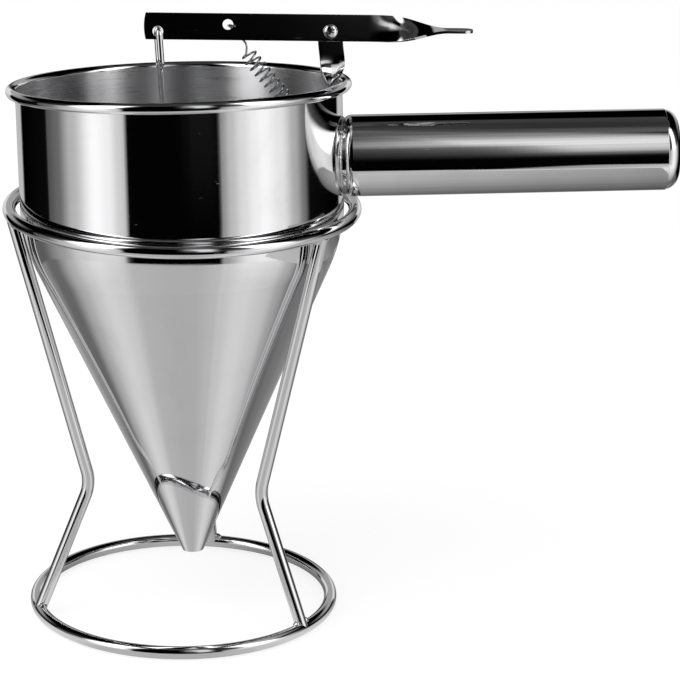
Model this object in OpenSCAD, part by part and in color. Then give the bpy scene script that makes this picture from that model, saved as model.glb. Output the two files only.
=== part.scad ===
// Batter dispenser: a sheet-metal funnel with a tubular handle stands in a
// welded wire stand. A sprung thumb lever lifts a rod and opens the nozzle.
// Millimetres. Origin on the floor at the centre of the base ring, +Z up,
// +X towards the handle. The funnel rests askew in the stand's ring.

/* [Stand] */
// Diameter of the stand's wire
wire_d = 6; // [4:0.5:8]
// Centreline radius of the ring on the floor
base_ring_r = 71.2; // [60:0.1:85]
// Centreline radius of the ring around the bowl
top_ring_r = 80.4; // [79:0.1:90]
// Height of the upper ring's centreline
top_ring_z = 197.6; // [180:0.1:205]
// Distance from the stand's axis to a leg's knee
knee_r = 45.7; // [40:0.1:60]
// Height of the knees
knee_z = 64.8; // [50:0.1:90]
// Bend radius of a leg's wire at the knee
knee_bend_r = 20; // [10:1:30]
// Distance from the axis to both front legs' centrelines at the upper ring
leg_top_r = 80.4; // [79:0.1:85]
// The same distance at the rear leg, which clears the funnel's low side
leg_rear_top_r = 82; // [79:0.1:85]
// Direction of the leg at the front left, in degrees about the stand's axis
leg_left_az = 196.4; // [180:0.1:210]
// Direction of the leg at the front right
leg_right_az = 323.6; // [310:0.1:340]
// Direction of the rear leg
leg_rear_az = 80.4; // [60:0.1:110]

/* [Seat] */
// Angle by which the funnel leans back in the ring, in degrees
lean_back = 4.84; // [0:0.01:6]
// Angle by which the funnel leans to the left
lean_left = 1.7; // [0:0.01:3]
// Height of the point about which it leans
seat_z = 190; // [185:1:200]
// Shift of the leaning funnel to the right
seat_x = 0.23; // [-1:0.01:1]
// Shift of the leaning funnel to the back
seat_y = 0.17; // [-1:0.01:1]

/* [Funnel] */
// Heights from here on are measured along the funnel's own upright axis
// Outer radius of the bowl's wall
bowl_r = 75.4; // [70:0.1:77]
// Thickness of the funnel's sheet
sheet_t = 0.7; // [0.5:0.1:1.2]
// Height of the rolled rim's centre
rim_z = 253.5; // [240:0.1:270]
// Radius of the rolled rim's section
rim_curl_r = 2.55; // [1.5:0.05:4]
// Radius that the cone gains for each millimetre of height
cone_slope = 0.4602; // [0.35:0.0001:0.55]
// Height at which the cone's outer faces would meet
cone_apex_z = 20.2; // [0:0.1:30]
// Height of the nozzle's mouth
tip_z = 30.8; // [15:0.1:40]
// Radius of the nozzle's bore
nozzle_bore_r = 3.5; // [2:0.1:4]
// Length of the nozzle's straight bore
nozzle_bore_l = 8; // [4:0.5:12]
// Height where the turned nozzle meets the cone's sheet
nozzle_top_z = 58; // [50:1:70]

/* [Handle] */
// Height at which the handle's axis crosses the funnel's axis
handle_z = 219.6; // [210:0.1:230]
// Rise of the handle out of square with the funnel's axis, in degrees
handle_rise = 0; // [0:0.1:5]
// Radius of the handle's tube
handle_r = 19; // [15:0.1:22]
// Wall of the handle's tube
handle_wall = 1; // [0.8:0.1:2]
// Distance along the handle's axis to the tube's near end
tube_start = 79.5; // [77:0.1:90]
// Distance along the handle's axis to the tube's far end
tube_end = 225; // [180:1:240]
// Radius of the handle's neck where it meets the bowl
neck_r = 17.2; // [14:0.1:19]
// Depth of the end cap's domed face beyond the tube
cap_depth = 6.9; // [4:0.1:10]
// Radius of the end cap's rounded corner
cap_corner_r = 5.6; // [3:0.1:8]

/* [Lever] */
// The lever is drawn level and then turned about its pivot to its rest angle
// Distance from the funnel's axis to the lever's pivot
pivot_x = 70.4; // [60:0.1:75]
// Height of the pivot
pivot_z = 277.7; // [270:0.1:290]
// Angle by which the thumb's side hangs at rest
lever_rest = 1.8; // [0:0.1:5]
// Position of the lever's left end
lever_left_x = -15.3; // [-25:0.1:-12]
// Position of the thumb tab's tip
lever_tip_x = 136; // [115:0.1:150]
// Width of the lever's strip
lever_w = 12.3; // [8:0.1:16]
// Height of the strip's centreline
lever_z = 279.25; // [275:0.05:290]
// Thickness of the lever's strip
strip_t = 1.3; // [1:0.1:2]
// Where the strip starts to turn flat
twist_start_x = 87.7; // [80:0.1:95]
// Length of the strip's quarter turn
twist_l = 37; // [15:1:45]
// Position of the hook's hole
hook_x = -8.9; // [-14:0.1:-8]
// Height of the hook's hole
hook_hole_z = 276.8; // [274:0.1:280]
// Position of the spring's hole
spring_hole_x = 23.3; // [15:0.1:30]
// Height of the spring's hole
spring_hole_z = 280.3; // [276:0.1:282]
// Radius of the hook's and spring's holes
hole_r = 2.45; // [2:0.05:3]

/* [Bracket] */
// Width of the bracket's strip
bracket_w = 11.6; // [8:0.1:14]
// Height where the bracket starts to twist
bracket_twist_top = 266.7; // [260:0.1:270]
// Height where the bracket's quarter turn ends
bracket_twist_low = 247.7; // [246:0.1:256]
// Height of the lip that holds the spring
lip_z = 232.3; // [226:0.1:238]
// Distance from the axis to the hole in the lip
lip_hole_x = 59.7; // [56:0.1:71]

/* [Rod and spring] */
// Diameter of the valve rod's wire
rod_d = 3; // [2:0.1:4]
// Centreline radius of the rod's hook
hook_bend_r = 2.5; // [2.2:0.05:3.5]
// Angle by which the hook is turned about the rod
hook_turn = 14; // [0:1:30]
// Length of the hook's short leg below its bend
hook_leg_l = 13; // [8:0.5:18]
// Diameter of the return spring's wire
spring_wire_d = 1; // [0.6:0.05:1.2]
// Mean radius of the spring's coils
spring_r = 3.65; // [2.5:0.05:4]
// Number of the spring's turns
spring_turns = 11.5; // [8:0.5:18]
// Distance by which the coils sit beside the upper hook
spring_side = 2.9; // [0:0.1:4]

/* [Hidden] */

steel = [0.78, 0.78, 0.8];
wire_steel = [0.7, 0.71, 0.73];
dark_steel = [0.5, 0.5, 0.52];

wire_r = wire_d / 2;
rod_r = rod_d / 2;
fine = 96;
cut = 400;

// Legs: the lower part's angle from the vertical, the end and the bend's laps
foot_lean = atan((base_ring_r - knee_r) / (knee_z - wire_r));
leg_end_z = top_ring_z - 1.6;
bend_swell = 0.02;
bend_lap = 0.5;
weld_r = 2.1;
weld_spread = 3.1;

// Funnel: the shoulder is a zone of a ball that the wall and the cone both touch
bowl_in_r = bowl_r - sheet_t;
cone_lean = atan(cone_slope);
shoulder_z = cone_apex_z + bowl_r / cone_slope + bowl_r * tan(cone_lean / 2);
cone_top_z = shoulder_z - bowl_r * sin(cone_lean);
cone_sheet = sheet_t * sqrt(1 + cone_slope * cone_slope);
function cone_out(z) = cone_slope * (z - cone_apex_z);
function cone_in(z) = cone_out(z) - cone_sheet;
seat_low_z = tip_z + nozzle_bore_l;
seat_top_z = seat_low_z + 12;
seat_slope = (cone_in(seat_top_z) - nozzle_bore_r) / (seat_top_z - seat_low_z);
curl_in_r = rim_curl_r - sheet_t;
curl_x = bowl_in_r + rim_curl_r;

// Handle
neck_corner_r = 4;
neck_wall = 1.2;
cap_step = 0.4;
cap_r = handle_r - cap_step;
cap_dome_r = 90;
cap_hollow = 4.6;
spigot_l = 7;
spigot_r = handle_r - handle_wall - 0.05;
weld_t = 0.9;

// Lever and pivot: the strip's faces lie across Y, its front faces -Y
lever_back_y = -0.5;
lever_front_y = lever_back_y - strip_t;
lever_mid_y = (lever_back_y + lever_front_y) / 2;
twist_end_x = twist_start_x + twist_l;
twist_steps = 28;
twist_shrink = 0.02;
lever_end_bow = 24;
tab_corner_r = 4.6;
tab_l = lever_tip_x - twist_end_x + 0.4;
screw_r = 2;
bush_r = 2.9;
bore_gap = 0.06;
bush_end = 0.15;
sleeve_gap = 0.03;
washer_r = 4.6;
washer_t = 0.42;
head_r = 3.25;
head_h = 1.9;
nut_flats = 7;
nut_h = 3.2;

// Bracket
bracket_t = 1.3;
bracket_mid_y = bracket_t / 2;
bracket_plumb_x = pivot_x + 0.95;
bracket_lean_top = pivot_z - 4.4;
bracket_lean_low = pivot_z - 17.4;
bracket_wall_top = pivot_z - 29.4;
bracket_wall_low = pivot_z - 38.4;
bracket_loft_l = 36;
bracket_wall_x = sqrt(bowl_in_r * bowl_in_r - bracket_w * bracket_w / 4) - bracket_t / 2 - 0.15;
bracket_foot_z = pivot_z - 55.4;
bracket_flat_l = pivot_z - bracket_lean_top + 0.5;
bracket_foot_l = bracket_lean_top - bracket_loft_l + 0.5 - bracket_foot_z;
lip_l = 16.8;
lip_hole_r = 1.5;

// Rod: its own upright frame is leaned about the hook's bend
hook_at = rested(hook_x, hook_hole_z + hole_r - rod_r - 0.15);
plug_top_z = 54.5;
rod_lean = atan((-hook_at[0] + hook_bend_r * sin(hook_turn)) / (hook_at[1] - plug_top_z));
rod_l = (hook_at[1] - hook_bend_r - plug_top_z) / cos(rod_lean) + 3;
plug_gap = 0.45;
plug_low_z = seat_low_z + 1.2;
plug_r = 7;
plug_cyl_z = plug_low_z + (plug_r - nozzle_bore_r + plug_gap) / seat_slope - 1.2;

// Spring: from the lever's hole to the bracket's lip
spring_eye = rested(spring_hole_x, spring_hole_z);
spring_from = [spring_eye[0] - spring_side, 0.4, spring_eye[1]];
spring_to = [lip_hole_x, bracket_mid_y, lip_z + bracket_t];
spring_axis = unit(spring_to - spring_from);
spring_len = norm(spring_to - spring_from);
coil_start = 17.3;
coil_end = spring_len - 6.5;
coil_steps = 14;
lead_turn = 0.5;
side_a = unit(cross(spring_axis, [0, 1, 0]));
side_b = cross(spring_axis, side_a);

// Place of a point of the level lever after its turn to the rest angle
function rested(x, z) = [
    pivot_x + (x - pivot_x) * cos(lever_rest) + (z - pivot_z) * sin(lever_rest),
    pivot_z - (x - pivot_x) * sin(lever_rest) + (z - pivot_z) * cos(lever_rest)];

function unit(v) = v / norm(v);
function ease(t) = let (c = min(1, max(0, t))) c * c * (3 - 2 * c);

// Direction of a path at one of its points
function heading(p, i) = unit(p[min(i + 1, len(p) - 1)] - p[max(i - 1, 0)]);
function square_to(n, t) = unit(n - (n * t) * t);
function carried(p, n0) = [
    for (i = 0, n = square_to(n0, heading(p, 0)); i < len(p);
         i = i + 1, n = square_to(n, heading(p, min(i, len(p) - 1)))) n];

// Solid through a list of closed rings that each have the same number of points
module loft(rings) {
    m = len(rings[0]);
    k = len(rings);
    points = [for (ring = rings, q = ring) q];
    sides = [for (i = [0 : k - 2], j = [0 : m - 1])
        let (a = i * m + j, b = i * m + (j + 1) % m) [a, a + m, b + m]];
    sides_b = [for (i = [0 : k - 2], j = [0 : m - 1])
        let (a = i * m + j, b = i * m + (j + 1) % m) [a, b + m, b]];
    low = [for (j = [1 : m - 2]) [0, j, j + 1]];
    high = [for (j = [1 : m - 2]) [(k - 1) * m, (k - 1) * m + j + 1, (k - 1) * m + j]];
    polyhedron(points, concat(sides, sides_b, low, high));
}

// Round wire along a path
module wire_along(path, r, n0, sides) {
    side = carried(path, n0);
    loft([for (i = [0 : len(path) - 1])
        let (t = heading(path, i), a = square_to(side[i], t), b = cross(t, a))
        [for (j = [0 : sides - 1])
            path[i] + r * (cos(360 * j / sides) * a + sin(360 * j / sides) * b)]]);
}

// Ring of round section about the funnel's axis
module wire_ring(r, z) {
    rotate_extrude($fn = fine)
        translate([r, z])
            circle(r = wire_r, $fn = 48);
}

// One leg: foot, rounded knee and shank, in the plane of its direction
module leg(az, top_r) {
    shank_lean = atan((top_r - knee_r) / (top_ring_z - knee_z));
    bend_half = (foot_lean + shank_lean) / 2;
    bend_reach = knee_bend_r * tan(bend_half);
    foot_l = (knee_z - wire_r) / cos(foot_lean) - bend_reach;
    shank_l = (leg_end_z - knee_z) / cos(shank_lean) - bend_reach;
    rotate([0, 0, az])
        translate([knee_r, 0, knee_z]) {
            rotate([0, 180 - foot_lean, 0])
                translate([0, 0, bend_reach - bend_lap])
                    cylinder(r = wire_r, h = foot_l + bend_lap, $fn = 48);
            rotate([0, shank_lean, 0])
                translate([0, 0, bend_reach - bend_lap])
                    cylinder(r = wire_r, h = shank_l + bend_lap, $fn = 48);
            rotate([0, (shank_lean - foot_lean) / 2, 0])
                translate([knee_bend_r / cos(bend_half), 0, 0])
                    rotate([90, 0, 0])
                        rotate([0, 0, 180 - bend_half])
                            rotate_extrude(angle = 2 * bend_half, $fn = fine)
                                translate([knee_bend_r, 0])
                                    circle(r = wire_r + bend_swell, $fn = 48);
        }
}

module base_ring() {
    color(wire_steel) wire_ring(base_ring_r, wire_r);
}

module top_ring() {
    color(wire_steel) wire_ring(top_ring_r, top_ring_z);
}

module leg_left() {
    color(wire_steel) leg(leg_left_az, leg_top_r);
}

module leg_right() {
    color(wire_steel) leg(leg_right_az, leg_top_r);
}

module leg_rear() {
    color(wire_steel) leg(leg_rear_az, leg_rear_top_r);
}

// Weld beads in the corners between each leg and both rings
module stand_welds() {
    color(dark_steel)
        for (az = [leg_left_az, leg_right_az, leg_rear_az])
            rotate([0, 0, az])
                for (side = [-1, 1]) {
                    translate([top_ring_r - 0.6, side * weld_spread, top_ring_z - 2.7])
                        sphere(r = weld_r, $fn = 32);
                    translate([base_ring_r - 0.8, side * weld_spread, wire_d - 0.6])
                        sphere(r = weld_r, $fn = 32);
                }
}

// Leans its children, drawn about an upright axis, as the funnel rests in the ring
module seated() {
    translate([seat_x, seat_y, seat_z])
        rotate([-lean_back, -lean_left, 0])
            translate([0, 0, -seat_z])
                children();
}

// Straight wall above a rounded shoulder, with a rim rolled outwards
module bowl_shell() {
    color(steel)
        seated()
            rotate_extrude($fn = fine)
                union() {
                    intersection() {
                        difference() {
                            translate([0, shoulder_z])
                                circle(r = bowl_r, $fn = 180);
                            translate([0, shoulder_z])
                                circle(r = bowl_in_r, $fn = 180);
                        }
                        polygon([
                            [0, shoulder_z],
                            [cut, shoulder_z],
                            [cut * cos(cone_lean), shoulder_z - cut * sin(cone_lean)]]);
                    }
                    translate([bowl_in_r, shoulder_z])
                        square([sheet_t, rim_z - shoulder_z]);
                    difference() {
                        translate([curl_x, rim_z])
                            circle(r = rim_curl_r, $fn = 48);
                        translate([curl_x, rim_z])
                            circle(r = curl_in_r, $fn = 48);
                        translate([bowl_r, rim_z - rim_curl_r])
                            square([1.3, rim_curl_r * 0.75]);
                    }
                }
}

module cone_shell() {
    color(steel)
        seated()
            rotate_extrude($fn = fine)
                polygon([
                    [cone_in(nozzle_top_z), nozzle_top_z],
                    [cone_out(nozzle_top_z), nozzle_top_z],
                    [bowl_r * cos(cone_lean), cone_top_z],
                    [bowl_in_r * cos(cone_lean), shoulder_z - bowl_in_r * sin(cone_lean)]]);
}

// Turned tip with the straight bore and the seat of the plug
module nozzle_tip() {
    color(steel)
        seated()
            rotate_extrude($fn = fine)
                polygon([
                    [nozzle_bore_r, tip_z],
                    [cone_out(tip_z), tip_z],
                    [cone_out(nozzle_top_z), nozzle_top_z],
                    [cone_in(nozzle_top_z), nozzle_top_z],
                    [cone_in(seat_top_z), seat_top_z],
                    [nozzle_bore_r, seat_low_z]]);
}

// Moves its children onto the handle's axis, +Z along the handle
module on_handle() {
    translate([0, 0, handle_z])
        rotate([0, 90 - handle_rise, 0])
            children();
}

module bowl_cutter() {
    cylinder(r = bowl_r, h = cut, $fn = fine);
}

module handle_tube() {
    color(steel)
        seated()
            on_handle()
                difference() {
                    translate([0, 0, tube_start])
                        cylinder(r = handle_r, h = tube_end - tube_start, $fn = fine);
                    translate([0, 0, tube_start - 1])
                        cylinder(r = handle_r - handle_wall, h = tube_end - tube_start + 2, $fn = fine);
                }
}

// Rounded shoulder between the tube and the bowl, coped to the wall
module handle_root_cap() {
    color(steel)
        seated()
            difference() {
                on_handle()
                    rotate_extrude($fn = fine)
                        difference() {
                            union() {
                                translate([0, bowl_r - 8])
                                    square([neck_r, tube_start - bowl_r + 8]);
                                intersection() {
                                    translate([handle_r - neck_corner_r, tube_start])
                                        circle(r = neck_corner_r, $fn = 64);
                                    translate([0, tube_start - neck_corner_r])
                                        square([handle_r, neck_corner_r]);
                                }
                            }
                            translate([0, bowl_r - 9])
                                square([neck_r - neck_wall, tube_start - bowl_r + 10]);
                        }
                bowl_cutter();
            }
}

// Hollow cap with a rounded corner, a domed face and a spigot in the tube
module handle_end_cap() {
    color(steel)
        seated()
            on_handle()
                translate([0, 0, tube_end])
                    rotate_extrude($fn = fine)
                        difference() {
                            union() {
                                translate([0, -spigot_l])
                                    square([spigot_r, spigot_l]);
                                intersection() {
                                    translate([0, cap_depth - cap_dome_r])
                                        circle(r = cap_dome_r, $fn = 180);
                                    union() {
                                        square([cap_r - cap_corner_r, cap_depth]);
                                        square([cap_r, cap_step]);
                                        intersection() {
                                            translate([cap_r - cap_corner_r, cap_step])
                                                circle(r = cap_corner_r, $fn = 64);
                                            square([cap_r, cap_depth]);
                                        }
                                    }
                                }
                            }
                            translate([0, -spigot_l - 1])
                                square([spigot_r - handle_wall, spigot_l + 1.5]);
                            translate([0, -1])
                                square([cap_r - cap_corner_r, cap_hollow + 1]);
                        }
}

// Weld bead that follows the line where the neck meets the wall
module handle_weld() {
    color(dark_steel)
        seated()
            intersection() {
                on_handle()
                    translate([0, 0, bowl_r - 8])
                        difference() {
                            cylinder(r = neck_r + weld_t, h = 12, $fn = fine);
                            translate([0, 0, -1])
                                cylinder(r = neck_r, h = 14, $fn = fine);
                        }
                difference() {
                    cylinder(r = bowl_r + weld_t, h = cut, $fn = fine);
                    translate([0, 0, -1])
                        cylinder(r = bowl_r, h = cut + 2, $fn = fine);
                }
            }
}

// Centre, turn and section of the bracket's strip at a height
function bracket_x(z) = pivot_x
    + (bracket_plumb_x - pivot_x) * ease((bracket_lean_top - z) / (bracket_lean_top - bracket_lean_low))
    + (bracket_wall_x - bracket_plumb_x)
        * ease((bracket_wall_top - z) / (bracket_wall_top - bracket_wall_low));
function bracket_turn(z) =
    90 * ease((bracket_twist_top - z) / (bracket_twist_top - bracket_twist_low));
function bracket_ring(z) =
    let (c = [bracket_x(z), bracket_mid_y, z],
         a = bracket_turn(z),
         u = [cos(a), sin(a), 0] * bracket_w / 2,
         v = [-sin(a), cos(a), 0] * bracket_t / 2)
    [c - u - v, c - u + v, c + u + v, c + u - v];

// Upright strip: flat behind the lever, then a quarter turn, then down the wall
module lever_bracket() {
    color(steel)
        seated()
            difference() {
                union() {
                    translate([pivot_x, 0, pivot_z])
                        rotate([-90, 0, 0])
                            cylinder(r = bracket_w / 2, h = bracket_t, $fn = fine);
                    translate([pivot_x - bracket_w / 2, 0, bracket_lean_top - 0.5])
                        cube([bracket_w, bracket_t, bracket_flat_l]);
                    loft([for (i = [0 : bracket_loft_l]) bracket_ring(bracket_lean_top - i)]);
                    translate([bracket_wall_x, bracket_mid_y, bracket_foot_z]) {
                        translate([-bracket_t / 2, -bracket_w / 2, 0])
                            cube([bracket_t, bracket_w, bracket_foot_l]);
                        translate([-lip_l, -bracket_w / 2, lip_z - bracket_foot_z - bracket_t / 2])
                            cube([lip_l, bracket_w, bracket_t]);
                    }
                }
                translate([pivot_x, -1, pivot_z])
                    rotate([-90, 0, 0])
                        cylinder(r = screw_r + bore_gap, h = bracket_t + 2, $fn = fine);
                translate([lip_hole_x, bracket_mid_y, lip_z - bracket_t])
                    cylinder(r = lip_hole_r, h = 2 * bracket_t, $fn = 48);
            }
}

// Beads along both edges of the bracket's foot
module bracket_welds() {
    color(dark_steel)
        seated()
            for (side = [-1, 1])
                translate([bracket_wall_x, bracket_mid_y + side * (bracket_w / 2 + 0.4), 0]) {
                    translate([0, 0, bracket_foot_z + 2])
                        cylinder(r = 0.9, h = 6, $fn = 32);
                    translate([0, 0, bracket_foot_z + 2])
                        sphere(r = 0.9, $fn = 32);
                    translate([0, 0, bracket_foot_z + 8])
                        sphere(r = 0.9, $fn = 32);
                }
}

// Moves its children onto the pivot's axis, +Z away from the front
module on_pivot(y) {
    translate([pivot_x, y, pivot_z])
        rotate([-90, 0, 0])
            children();
}

// Pan head with a cross recess, and its shank through bush, bracket and nut
module pivot_screw() {
    head_y = lever_front_y - bush_end;
    color(steel)
        seated()
            difference() {
                union() {
                    on_pivot(head_y - head_h)
                        rotate_extrude($fn = fine)
                            intersection() {
                                translate([0, 4.3])
                                    circle(r = 4.3, $fn = 64);
                                square([head_r, head_h]);
                            }
                    on_pivot(head_y - 0.01)
                        cylinder(r = screw_r, h = -head_y + bracket_t + nut_h + 1, $fn = fine);
                }
                for (turn = [20, 110])
                    on_pivot(head_y - head_h - 1)
                        rotate([0, 0, turn])
                            translate([-1.9, -0.4, 0])
                                cube([3.8, 0.8, 2.1]);
            }
}

module pivot_nut() {
    color(steel)
        seated()
            on_pivot(bracket_t)
                difference() {
                    cylinder(r = nut_flats / sqrt(3), h = nut_h, $fn = 6);
                    translate([0, 0, -1])
                        cylinder(r = screw_r + sleeve_gap, h = nut_h + 2, $fn = fine);
                }
}

module pivot_washer() {
    color(steel)
        seated()
            on_pivot(-washer_t)
                difference() {
                    cylinder(r = washer_r, h = washer_t, $fn = fine);
                    translate([0, 0, -1])
                        cylinder(r = bush_r + sleeve_gap, h = washer_t + 2, $fn = fine);
                }
}

// Sleeve that the lever turns on, clamped between the head and the bracket
module pivot_bush() {
    color(steel)
        seated()
            on_pivot(lever_front_y - bush_end)
                difference() {
                    cylinder(r = bush_r, h = bush_end - lever_front_y, $fn = fine);
                    translate([0, 0, -1])
                        cylinder(r = screw_r + sleeve_gap, h = strip_t + 4, $fn = fine);
                }
}

// Points of the spring's wire: hook through the lever, coils, hook in the lip
function coil_point(s, turn, r) =
    spring_from + s * spring_axis + r * (cos(turn) * side_a + sin(turn) * side_b);
coil_count = ceil(spring_turns * coil_steps);
coil_points = [for (i = [0 : coil_count])
    let (t = i / coil_count)
    coil_point(coil_start + t * (coil_end - coil_start), 360 * spring_turns * t + 90,
        spring_r * min(1, ease(0.15 + t * spring_turns / lead_turn),
                       ease(0.15 + (1 - t) * spring_turns / lead_turn)))];
top_hook = [for (q = [
    [spring_hole_x + 3.6, lever_front_y - 0.62, spring_hole_z - 0.85],
    [spring_hole_x + 2.2, lever_front_y - 0.62, spring_hole_z - 0.5],
    [spring_hole_x + 1, lever_front_y - 0.6, spring_hole_z - 0.25],
    [spring_hole_x + 0.3, lever_front_y - 0.3, spring_hole_z - 0.2],
    [spring_hole_x + 0.1, lever_mid_y, spring_hole_z - 0.3],
    [spring_hole_x + 0.5, lever_back_y + 0.35, spring_hole_z - 0.75],
    [spring_hole_x + 1.6, 0.35, spring_hole_z - 1.8],
    [spring_hole_x + 5, 0.45, spring_hole_z - 5.1],
    [spring_hole_x + 8.2, 0.45, spring_hole_z - 8.6],
    [spring_hole_x + 8.7, 0.45, spring_hole_z - 10.6]])
    let (at = rested(q[0], q[2])) [at[0], q[1], at[1]]];
low_hook = [
    [lip_hole_x - 2.6, bracket_mid_y, lip_z + 3.6],
    [lip_hole_x - 0.9, bracket_mid_y, lip_z + 1.9],
    [lip_hole_x - 0.1, bracket_mid_y, lip_z + 0.4],
    [lip_hole_x - 0.1, bracket_mid_y, lip_z - 0.9],
    [lip_hole_x - 0.9, bracket_mid_y, lip_z - 1.8],
    [lip_hole_x - 2.4, bracket_mid_y, lip_z - 2.2],
    [lip_hole_x - 3.9, bracket_mid_y, lip_z - 1.7]];

module return_spring() {
    color(dark_steel)
        seated()
            wire_along(concat(top_hook, coil_points, low_hook), spring_wire_d / 2, [0, 0, 1], 6);
}

// Section of the lever's strip while it turns flat
function lever_ring(x) =
    let (a = 90 * ease((x - twist_start_x) / twist_l),
         u = [0, sin(a), cos(a)] * (lever_w / 2 - twist_shrink),
         v = [0, cos(a), -sin(a)] * (strip_t / 2 - twist_shrink),
         c = [x, lever_mid_y, lever_z])
    [c - u - v, c - u + v, c + u + v, c + u - v];

// Turns the level lever about its pivot to the rest angle
module at_rest() {
    translate([pivot_x, 0, pivot_z])
        rotate([0, lever_rest, 0])
            translate([-pivot_x, 0, -pivot_z])
                children();
}

// Strip with a bowed left end, three holes, a quarter turn and a thumb tab
module lever_arm() {
    color(steel)
        seated()
            at_rest()
                difference() {
                    union() {
                        translate([0, lever_front_y, 0])
                            rotate([-90, 0, 0])
                                linear_extrude(height = strip_t)
                                    intersection() {
                                        translate([lever_left_x, -lever_z - lever_w / 2])
                                            square([twist_start_x - lever_left_x + 0.4, lever_w]);
                                        translate([lever_left_x + lever_end_bow, -lever_z])
                                            union() {
                                                circle(r = lever_end_bow, $fn = 180);
                                                translate([0, -lever_end_bow])
                                                    square([cut, 2 * lever_end_bow]);
                                            }
                                    }
                        loft([for (i = [0 : twist_steps])
                            lever_ring(twist_start_x + twist_l * i / twist_steps)]);
                        translate([twist_end_x - 0.4, lever_mid_y, lever_z - strip_t / 2])
                            linear_extrude(height = strip_t)
                                union() {
                                    translate([0, -lever_w / 2])
                                        square([tab_l - tab_corner_r, lever_w]);
                                    translate([0, -lever_w / 2 + tab_corner_r])
                                        square([tab_l, lever_w - 2 * tab_corner_r]);
                                    for (side = [-1, 1])
                                        translate([tab_l - tab_corner_r, side * (lever_w / 2 - tab_corner_r)])
                                            circle(r = tab_corner_r, $fn = 64);
                                }
                    }
                    on_pivot(lever_front_y - 1)
                        cylinder(r = bush_r + bore_gap, h = strip_t + 2, $fn = fine);
                    translate([hook_x, lever_front_y - 1, hook_hole_z])
                        rotate([-90, 0, 0])
                            cylinder(r = hole_r, h = strip_t + 2, $fn = 64);
                    translate([spring_hole_x, lever_front_y - 1, spring_hole_z])
                        rotate([-90, 0, 0])
                            cylinder(r = hole_r, h = strip_t + 2, $fn = 64);
                }
}

// Hairpin hook through the lever's hole and the long straight rod below it
module valve_rod() {
    color(steel)
        seated()
            translate([hook_at[0], lever_mid_y, hook_at[1]])
                rotate([0, -rod_lean, 0])
                    rotate([0, 0, hook_turn])
                        translate([0, 0, -hook_bend_r]) {
                            rotate([90, 0, 90])
                                rotate_extrude(angle = 180, $fn = fine)
                                    translate([hook_bend_r, 0])
                                        circle(r = rod_r, $fn = 48);
                            translate([0, hook_bend_r, -rod_l])
                                cylinder(r = rod_r, h = rod_l, $fn = 48);
                            translate([0, -hook_bend_r, -hook_leg_l])
                                cylinder(r = rod_r, h = hook_leg_l, $fn = 48);
                            translate([0, -hook_bend_r, -hook_leg_l])
                                sphere(r = rod_r, $fn = 48);
                        }
}

// Turned stopper: a cone that matches the seat, a straight band and a boss
module valve_plug() {
    color(steel)
        seated()
            rotate_extrude($fn = fine)
                polygon([
                    [0, plug_low_z],
                    [nozzle_bore_r + (plug_low_z - seat_low_z) * seat_slope - plug_gap, plug_low_z],
                    [plug_r, plug_cyl_z + 1.2],
                    [plug_r, plug_cyl_z + 5],
                    [plug_r - 1.2, plug_cyl_z + 6],
                    [3.2, plug_top_z - 2.5],
                    [3.2, plug_top_z],
                    [0, plug_top_z]]);
}

base_ring();
top_ring();
leg_left();
leg_right();
leg_rear();
stand_welds();
bowl_shell();
cone_shell();
nozzle_tip();
handle_tube();
handle_root_cap();
handle_end_cap();
handle_weld();
lever_bracket();
bracket_welds();
pivot_screw();
pivot_nut();
pivot_washer();
pivot_bush();
return_spring();
lever_arm();
valve_rod();
valve_plug();
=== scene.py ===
import bpy, bmesh
from math import atan, atan2, cos, degrees, pi, radians, sin, sqrt, tan
from mathutils import Matrix, Vector


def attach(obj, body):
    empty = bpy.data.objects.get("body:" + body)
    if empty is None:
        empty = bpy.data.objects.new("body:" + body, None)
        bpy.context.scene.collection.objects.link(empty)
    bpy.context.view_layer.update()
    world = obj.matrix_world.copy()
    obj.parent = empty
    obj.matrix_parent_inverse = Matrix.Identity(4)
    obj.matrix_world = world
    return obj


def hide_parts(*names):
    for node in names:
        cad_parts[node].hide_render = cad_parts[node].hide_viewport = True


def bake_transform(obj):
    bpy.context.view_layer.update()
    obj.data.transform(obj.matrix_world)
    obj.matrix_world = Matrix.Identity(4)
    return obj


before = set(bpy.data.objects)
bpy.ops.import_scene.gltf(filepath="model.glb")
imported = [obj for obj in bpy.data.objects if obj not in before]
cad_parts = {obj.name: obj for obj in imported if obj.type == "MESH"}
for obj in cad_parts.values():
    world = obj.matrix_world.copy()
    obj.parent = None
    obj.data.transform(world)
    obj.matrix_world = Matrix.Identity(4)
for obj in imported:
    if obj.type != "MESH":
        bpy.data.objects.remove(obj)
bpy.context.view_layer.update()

MM = 0.001

# ---------------------------------------------------------------- sizes, in millimetres
WIRE_R = 3.0
BASE_RING_R = 71.2
TOP_RING_R, TOP_RING_Z = 80.4, 197.6
KNEE_R, KNEE_Z, KNEE_BEND = 45.7, 64.8, 20.0
LEGS = {"leg_left": (196.4, 80.4), "leg_right": (323.6, 80.4), "leg_rear": (80.4, 82.0)}

# the funnel rests askew in the ring: everything on it is drawn upright and then leaned
LEAN_BACK, LEAN_LEFT = radians(-4.84), radians(-1.7)
SEAT_X, SEAT_Y, SEAT_Z = 0.23, 0.17, 190
SEAT = (Matrix.Translation((SEAT_X, SEAT_Y, SEAT_Z)) @ Matrix.Rotation(LEAN_LEFT, 4, "Y")
        @ Matrix.Rotation(LEAN_BACK, 4, "X") @ Matrix.Translation((0, 0, -SEAT_Z)))

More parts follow.
